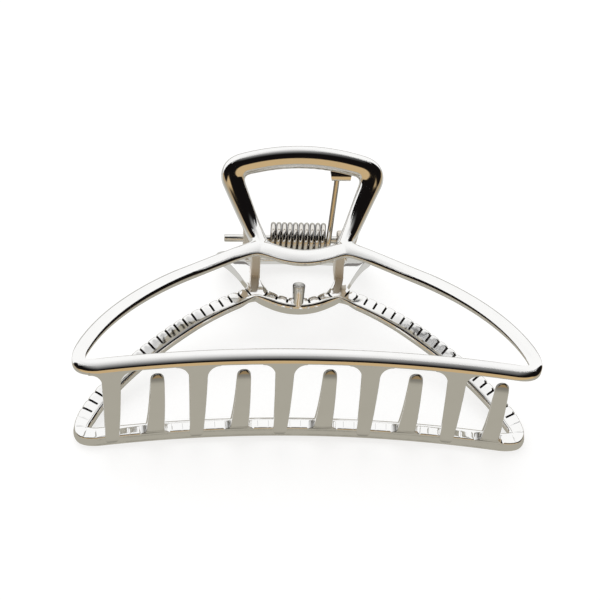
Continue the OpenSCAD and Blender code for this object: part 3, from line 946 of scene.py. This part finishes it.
def turned(name, profile, around, matrix):
    # a revolved solid about its own z axis, closed at both ends
    vertices = [Vector((0, 0, profile[0][1]))]
    for radius, z in profile:
        for k in range(around):
            a = 2 * math.pi * k / around
            vertices.append(Vector((radius * math.cos(a), radius * math.sin(a), z)))
    vertices.append(Vector((0, 0, profile[-1][1])))
    faces = tubeFaces(len(profile), around, 1)
    last = len(vertices) - 1
    top = last - around
    for k in range(around):
        after = (k + 1) % around
        faces.append((0, 1 + k, 1 + after))
        faces.append((last, top + after, top + k))
    made = meshObject(name, [matrix @ v for v in vertices], faces)
    return cleanMesh(made, weld["fitting"])


def roundedEnd(radius, z, turn):
    # the rim at the end of a turned profile
    steps = hinge["edgeSteps"]
    return [(radius - turn + turn * math.cos(a), z - turn + turn * math.sin(a))
            for a in (math.pi / 2 * k / steps for k in range(steps + 1))]


def neckPeg():
    # a stub on the neck's inner face, a little wider at its end
    foot = onFace(neckAt(0), fittings["pegSink"])
    matrix = Matrix.Translation(foot) @ Matrix.Rotation(math.radians(180 + fittings["pegTilt"]), 4, "X")
    end = fittings["pegSink"] + fittings["pegLength"]
    profile = [(fittings["pegFoot"] / 2, 0)]
    profile += roundedEnd(fittings["pegTop"] / 2, end, fittings["pegEdge"])
    return turned("neckPeg", profile, fittings["around"], matrix)


def springTab():
    # a short plate under the top bar that ends in a round lip
    foot = onFace((0, clip["topS"] - bars["loop"] / 2), fittings["tabOff"])
    matrix = (Matrix.Translation(Vector((fittings["tabX"], foot.y, foot.z)))
              @ Matrix.Rotation(math.radians(clip["loopTilt"]), 4, "X"))
    thick, lip = fittings["tabThick"], fittings["lipRound"]
    sink, drop = fittings["tabSink"], fittings["tabDrop"]
    outline = [(sink, 0.0), (sink, thick), (lip - drop, thick)]
    for k in range(1, fittings["lipSteps"] + 1):
        a = math.pi / 2 + math.pi * fittings["lipTurn"] * k / fittings["lipSteps"]
        outline.append((lip * math.cos(a) - drop, thick - lip + lip * math.sin(a)))
    outline.append((lip - drop, 0.0))
    half = fittings["tabWidth"] / 2
    columns = fittings["tabColumns"]
    vertices = []
    for i in range(columns):
        share = -1 + 2 * i / (columns - 1)
        for y, z in outline:
            taper = fittings["tabTaper"] * (sink - y) / (sink + drop)
            vertices.append(matrix @ Vector((share * (half - taper), y, z)))
    n = len(outline)
    faces = tubeFaces(columns, n, 0)
    faces.append(tuple(range(n)))
    faces.append(tuple(range(len(vertices) - n, len(vertices))))
    return cleanMesh(meshObject("springTab", vertices, faces), weld["fitting"])


def castJaw(name, tree, lugX, bore, form, matrix, body, node):
    # frame, teeth, lugs, tab and peg as one casting
    shell, darkMarks, leans = openFrame(form)
    lugs = [lug(lugX, bore), lug(-lugX - hinge["lugThick"], bore)]
    lugTree = surfaceTree(lugs)
    turn = matrix.to_3x3().normalized()
    pegs = []
    if body == "rear_half":
        pegs.append(neckPeg())
        points = [v.co.copy() for v in pegs[0].data.vertices]
        endLean = turn.transposed() @ lean["pegEnd"]
        leans += [(p, endLean) for p in points[-2 * fittings["around"] - 1:]]  # its end and last two rings
        # painted shade: the peg's sides are painted darker, away from its middle
        darkMarks += [(p, smoothStep(*fittings["pegShade"], abs(p.x))) for p in points]
    row, shades = toothRow(tree, form["fillet"], form["footShade"])
    extras = joinMeshes("castExtras", [row, springTab()] + lugs + pegs)
    merge = shell.modifiers.new("oneCasting", "BOOLEAN")
    merge.operation = "UNION"
    merge.solver = "MANIFOLD"
    merge.object = extras
    mesh = evaluatedMesh(shell)
    bpy.data.objects.remove(shell)
    bpy.data.objects.remove(extras)
    mesh.name = name
    paintCasting(mesh, darkMarks + shades, leans, turn, lugTree)
    mesh.transform(matrix)
    drawIn(mesh)
    mesh.materials.clear()
    mesh.materials.append(materials["jawPlating"])
    smoothShading(mesh, sharp["casting"])
    made = addObject(name, mesh)
    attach(made, body)
    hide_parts(node)
    print(name, len(mesh.polygons), "faces")


rowTree = toothRowTree()
# flare: how far the inner face stands into the window, at the shoulders and at the lower bar
# bulge: how far the foot of the crown stands out, at the same two places
# fillet and the value after it: roots of the teeth, and how dark the painted shade in them is
# wallLean and windowLean: leans of the lower bar's outside and of the shoulders' window side;
# without them the normals follow the wishes above
forms = {
    "front": {"flare": (0.0, 0.0), "bulge": (0.0, 0.0), "fillet": 3.0, "footShade": 0.0,
              "wallLean": None},
    "rear": {"flare": (1.3, 0.5), "bulge": (0.0, 0.65), "fillet": 1.4, "footShade": 0.75,
             "wallLean": (0.4, 0.4, 0.3, 0.0), "windowLean": (0.5, 0.3, 0.1, 0.0)},
}
castJaw("frontJaw", rowTree, hinge["frontX"], hinge["pin"] / 2 + hinge["run"], forms["front"],
        layMatrix, "front_half", "front_jaw")
castJaw("rearJaw", rowTree, hinge["rearX"], hinge["pin"] / 2, forms["rear"],
        layMatrix @ halfTurn, "rear_half", "rear_jaw")


def hingePin():
    left = -hinge["frontX"] - hinge["lugThick"] - hinge["pinOver"]
    right = hinge["frontX"] + hinge["lugThick"]
    bevel = hinge["pinBevel"]
    radius = hinge["pin"] / 2
    start = [(r, right - left - z) for r, z in reversed(roundedEnd(radius, right - left, bevel))]
    profile = start + roundedEnd(radius, right - left, bevel)
    matrix = layMatrix @ Matrix.Translation((left, 0, 0)) @ Matrix.Rotation(math.pi / 2, 4, "Y")
    made = turned("pinRod", profile, hinge["around"], matrix)
    made.data.materials.append(materials["pinSteel"])
    smoothShading(made.data, sharp["pin"])
    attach(made, "rear_half")
    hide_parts("hinge_pin")
    print("pinRod", len(made.data.polygons), "faces")


hingePin()

# torsion spring: one wire from the rear loop, round the pin, to the front loop
spring = {
    "wire": 1.25, "coil": 6.9, "turns": 10, "gap": 0.11, "legGap": 0.06, "legEnd": 5.0, "legAside": 0.8,
    "turnSteps": 40, "legSteps": 14, "sides": 16, "elbowIn": 0.12, "elbowOut": 0.36, "elbowSteps": 6,
    "crevice": (0.5, 0.9),
}


def springPath():
    # leg of the rear loop, turns round the pin, leg of the front loop
    pitch = spring["wire"] + spring["gap"]
    coilEnd = spring["turns"] * pitch / 2
    radius = spring["coil"] / 2
    legX = fittings["tabX"] - spring["legAside"]
    legHeight = -spring["wire"] / 2 - spring["legGap"]
    bendS = clip["topS"] - bars["loop"] / 2 - fittings["tabDrop"]
    bend = onFace((legX, bendS), legHeight)
    tip = onFace((legX, bendS + spring["legEnd"]), legHeight)
    leave = math.atan2(bend.z, bend.y) + math.acos(radius / bend.yz.length)
    angle = 2 * math.pi * (spring["turns"] + 1) - 2 * leave
    steps = round(spring["turnSteps"] * angle / (2 * math.pi))

    def coilAt(u):
        a = 2 * math.pi * (spring["turns"] + 1) - leave - angle * u
        return Vector((coilEnd * (2 * u - 1), radius * math.cos(a), radius * math.sin(a)))

    out = coilAt(1)
    elbow = [bend.lerp(out, spring["elbowIn"]), bend, bend.lerp(tip, spring["elbowOut"])]
    leg = [out.lerp(elbow[0], k / spring["legSteps"]) for k in range(1, spring["legSteps"] + 1)]
    leg += [bezier(elbow, k / spring["elbowSteps"]) for k in range(1, spring["elbowSteps"] + 1)]
    leg.append(tip)
    rear = [Vector((-p.x, p.y, -p.z)) for p in reversed(leg)]
    return rear + [coilAt(k / steps) for k in range(steps + 1)] + leg


def wireTree():
    # a round wire along a line of points
    tree, given, result = newTree(
        "wireAlongPath", "GeometryNodeTree",
        [("Path", "NodeSocketGeometry"), ("Wire Diameter", "NodeSocketFloat"), ("Sides", "NodeSocketInt"),
         ("Material", "NodeSocketMaterial")],
        [("Wire", "NodeSocketGeometry")])
    line = newNode(tree, "GeometryNodeMeshToCurve")
    half = newNode(tree, "ShaderNodeMath", {1: 0.5}, operation="MULTIPLY")
    ring = newNode(tree, "GeometryNodeCurvePrimitiveCircle")
    sweep = newNode(tree, "GeometryNodeCurveToMesh", {"Fill Caps": True})
    real = newNode(tree, "GeometryNodeRealizeInstances")
    paint = newNode(tree, "GeometryNodeSetMaterial")
    nodeLink(tree, given, "Path", line, "Mesh")
    nodeLink(tree, given, "Sides", ring, "Resolution")
    nodeLink(tree, given, "Wire Diameter", half, 0)
    nodeLink(tree, half, "Value", ring, "Radius")
    nodeLink(tree, line, "Curve", sweep, "Curve")
    nodeLink(tree, ring, "Curve", sweep, "Profile Curve")
    nodeLink(tree, sweep, "Mesh", real, "Geometry")
    nodeLink(tree, real, "Geometry", paint, "Geometry")
    nodeLink(tree, given, "Material", paint, "Material")
    nodeLink(tree, paint, "Geometry", result, "Wire")
    return tree


def torsionSpring():
    points = springPath()
    line = meshObject("springLine", points, [], [(i, i + 1) for i in range(len(points) - 1)])
    modifier = line.modifiers.new("wireAlongPath", "NODES")
    modifier.node_group = wireTree()
    setInputs(modifier, {"Wire Diameter": spring["wire"], "Sides": spring["sides"],
                         "Material": materials["springSteel"]})
    wire = evaluatedMesh(line)
    bpy.data.objects.remove(line)
    wire.transform(layMatrix)
    made = cleanMesh(addObject("springWire", wire), weld["wire"])
    smoothShading(made.data, sharp["wire"])
    # painted shade: the sides of the wire, between the turns, are painted dark
    darks = [smoothStep(*spring["crevice"], abs(v.normal.x)) for v in made.data.vertices]
    paintPoints(made.data, "slitDark", "FLOAT", "value", darks)
    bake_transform(made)
    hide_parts("torsion_spring")
    print("springWire", len(made.data.polygons), "faces")


torsionSpring()

# studio: white table, and cards that only the metal sees
studio = {
    "floorSize": 6.0, "floorColor": (0.36, 0.358, 0.354), "floorGlow": 0.7,
    "ambient": 0.75, "lampPower": 3.0, "lampSize": 0.9, "lampPlace": (-0.25, 0.35, 0.75),
    "centre": (0, 0, 0.02),
}
# colours of the room seen from the clip, by elevation and by the turn from the front, in degrees
sky = {
    "span": (-1, 120), "left": -92, "right": 112, "radius": 0.6, "columns": 92,
    "backSpan": (-1, 6), "back": (0.2, 0.19, 0.18),
    "tan": (0.575, 0.408, 0.214), "side": (0.42, 0.32, 0.2), "dark": (0.006, 0.005, 0.005),
    "frontTop": 38.0, "sideTop": 15.0, "sideFrom": 32.0, "sideTo": 58.0,
    "fadeFrom": 65.0, "fadeTo": 116.0, "soft": 2.0,
}
# painted shadow of the table near the clip, as the metal alone sees it, in front of the clip and behind it
mats = {
    "frontMat": {"x": 0.8, "fromY": -0.9, "toY": 0.02, "lift": 0.0003, "color": (0.408, 0.386, 0.327)},
    "backMat": {"x": 0.8, "fromY": 0.02, "toY": 0.9, "lift": 0.0003, "color": (0.6, 0.595, 0.57)},
}


def bareMaterial(name):
    made = bpy.data.materials.new(name)
    made.use_nodes = True
    made.node_tree.nodes.clear()
    return made, made.node_tree


def glowing(name, color):
    made, tree = bareMaterial(name)
    glow = newNode(tree, "ShaderNodeEmission", {"Color": (*color, 1), "Strength": 1.0})
    result = newNode(tree, "ShaderNodeOutputMaterial")
    nodeLink(tree, glow, "Emission", result, "Surface")
    return made


def flatCard(name, x, fromY, toY, z):
    return meshObject(name, [(-x, fromY, z), (x, fromY, z), (x, toY, z), (-x, toY, z)], [(0, 1, 2, 3)])


def onlyForMetal(card):
    # seen in reflections alone, so that it neither shows nor lights the table
    card.visible_camera = False
    card.visible_diffuse = False
    card.visible_transmission = False
    card.visible_volume_scatter = False
    card.visible_shadow = False


def skyColor(lift, turn):
    # warm at the foot, a dark band over it, white overhead
    aside = smoothStep(sky["sideFrom"], sky["sideTo"], abs(turn))
    warm = Vector(sky["tan"]).lerp(Vector(sky["side"]), aside)
    top = sky["frontTop"] + (sky["sideTop"] - sky["frontTop"]) * aside
    low = warm.lerp(Vector(sky["dark"]), smoothStep(top - sky["soft"], top + sky["soft"], lift))
    return low.lerp(Vector((1, 1, 1)), smoothStep(sky["fadeFrom"], sky["fadeTo"], lift))


def roomCard(name, span, left, right, colorAt):
    # a piece of a sphere round the clip
    centre = Vector(studio["centre"])
    rows, columns = span[1] - span[0], sky["columns"]
    vertices, colors = [], []
    for i in range(rows + 1):
        lift = span[0] + i
        for k in range(columns + 1):
            turn = left + (right - left) * k / columns
            a, b = math.radians(lift), math.radians(turn)
            vertices.append(centre + sky["radius"] * Vector((
                math.sin(b) * math.cos(a), -math.cos(b) * math.cos(a), math.sin(a))))
            colors += [*colorAt(lift, turn), 1]
    wide = columns + 1
    faces = [(i * wide + k, i * wide + k + 1, (i + 1) * wide + k + 1, (i + 1) * wide + k)
             for i in range(rows) for k in range(columns)]
    card = meshObject(name, vertices, faces)
    paintPoints(card.data, "roomColor", "FLOAT_COLOR", "color", colors)
    made = glowing(name, (1, 1, 1))
    tree = made.node_tree
    paint = newNode(tree, "ShaderNodeAttribute", attribute_name="roomColor")
    nodeLink(tree, paint, "Color", tree.nodes["Emission"], "Color")
    card.data.materials.append(made)
    onlyForMetal(card)


def floorMat(name, look):
    # a grey sheet of painted shadow on the table, seen by the metal alone
    card = flatCard(name, look["x"], look["fromY"], look["toY"], look["lift"])
    card.data.materials.append(glowing(name, look["color"]))
    onlyForMetal(card)


def seenRays(tree):
    # 1 for what the camera sees, plainly, in metal or through glass
    rays = newNode(tree, "ShaderNodeLightPath")
    either = newNode(tree, "ShaderNodeMath", operation="MAXIMUM")
    third = newNode(tree, "ShaderNodeMath", operation="MAXIMUM")
    nodeLink(tree, rays, "Is Camera Ray", either, 0)
    nodeLink(tree, rays, "Is Glossy Ray", either, 1)
    nodeLink(tree, either, 0, third, 0)
    nodeLink(tree, rays, "Is Transmission Ray", third, 1)
    return third


def tableFloor():
    half = studio["floorSize"] / 2
    floor = flatCard("tableFloor", half, -half, half, 0)
    made, tree = bareMaterial("tableWhite")
    matte = newNode(tree, "ShaderNodeBsdfDiffuse", {"Color": (*studio["floorColor"], 1)})
    amount = newNode(tree, "ShaderNodeMath", {1: studio["floorGlow"]}, operation="MULTIPLY")
    glow = newNode(tree, "ShaderNodeEmission")
    both = newNode(tree, "ShaderNodeAddShader")
    result = newNode(tree, "ShaderNodeOutputMaterial")
    nodeLink(tree, seenRays(tree), 0, amount, 0)
    nodeLink(tree, amount, 0, glow, "Strength")
    nodeLink(tree, matte, "BSDF", both, 0)
    nodeLink(tree, glow, "Emission", both, 1)
    nodeLink(tree, both, 0, result, "Surface")
    floor.data.materials.append(made)


def whiteWorld():
    world = bpy.data.worlds.new("whiteRoom")
    world.use_nodes = True
    tree = world.node_tree
    tree.nodes.clear()
    level = newNode(tree, "ShaderNodeMapRange", {"To Min": studio["ambient"], "To Max": 1.0})
    room = newNode(tree, "ShaderNodeBackground", {"Color": (1, 1, 1, 1)})
    result = newNode(tree, "ShaderNodeOutputWorld")
    nodeLink(tree, seenRays(tree), 0, level, "Value")
    nodeLink(tree, level, "Result", room, "Strength")
    nodeLink(tree, room, "Background", result, "Surface")
    scene.world = world


def softLamp():
    lamp = bpy.data.lights.new("softLamp", "AREA")
    lamp.energy = studio["lampPower"]
    lamp.size = studio["lampSize"]
    made = addObject("softLamp", lamp)
    made.location = studio["lampPlace"]
    aim = Vector(studio["centre"]) - made.location
    made.rotation_euler = aim.to_track_quat("-Z", "Y").to_euler()
    made.visible_glossy = False


tableFloor()
whiteWorld()
softLamp()
roomCard("skyCard", sky["span"], sky["left"], sky["right"], skyColor)
roomCard("backStrip", sky["backSpan"], sky["right"], sky["left"] + 360, lambda lift, aside: sky["back"])
for matName, look in mats.items():
    floorMat(matName, look)
print("studio ready")

# camera from the fit to the photograph, in a 600 by 600 frame
view = {
    "elevation": 51.19, "yaw": -6.27, "roll": 5.99, "distance": 546.7, "mmPerPixel": 0.239,
    "hingeAt": (298.74, 239.3), "frame": 600, "sensor": 36.0, "clipStart": 0.01,
}


def photoCamera():
    tilt = Matrix.Rotation(math.radians(clip["layTilt"]), 3, "X")
    lift, yaw, roll = (math.radians(view[key]) for key in ("elevation", "yaw", "roll"))
    back = Vector((math.sin(yaw) * math.cos(lift), -math.cos(yaw) * math.cos(lift), math.sin(lift)))
    right = Vector((math.cos(yaw), math.sin(yaw), 0))
    up = back.cross(right)
    rolledRight = right * math.cos(roll) + up * math.sin(roll)
    rolledUp = up * math.cos(roll) - right * math.sin(roll)
    focal = view["distance"] / view["mmPerPixel"]
    # aim at the middle of the picture, so that the camera needs no shift
    middle = view["frame"] / 2
    aside = (middle - view["hingeAt"][0]) / focal
    below = (middle - view["hingeAt"][1]) / focal
    aim = (rolledRight * aside - rolledUp * below - back).normalized()
    axisZ = tilt @ -aim
    axisX = tilt @ rolledRight
    axisX = (axisX - axisZ * axisX.dot(axisZ)).normalized()
    axisY = axisZ.cross(axisX)
    place = hingePoint + (tilt @ back) * view["distance"] * mm
    camera = bpy.data.cameras.new("photoCamera")
    camera.sensor_width = view["sensor"]
    camera.lens = view["sensor"] * focal / view["frame"]
    camera.clip_start = view["clipStart"]
    made = addObject("photoCamera", camera)
    turn = Matrix((axisX, axisY, axisZ)).transposed().to_4x4()
    made.matrix_world = Matrix.Translation(place) @ turn
    scene.camera = made


photoCamera()
scene.view_settings.view_transform = "Standard"
print("camera ready")
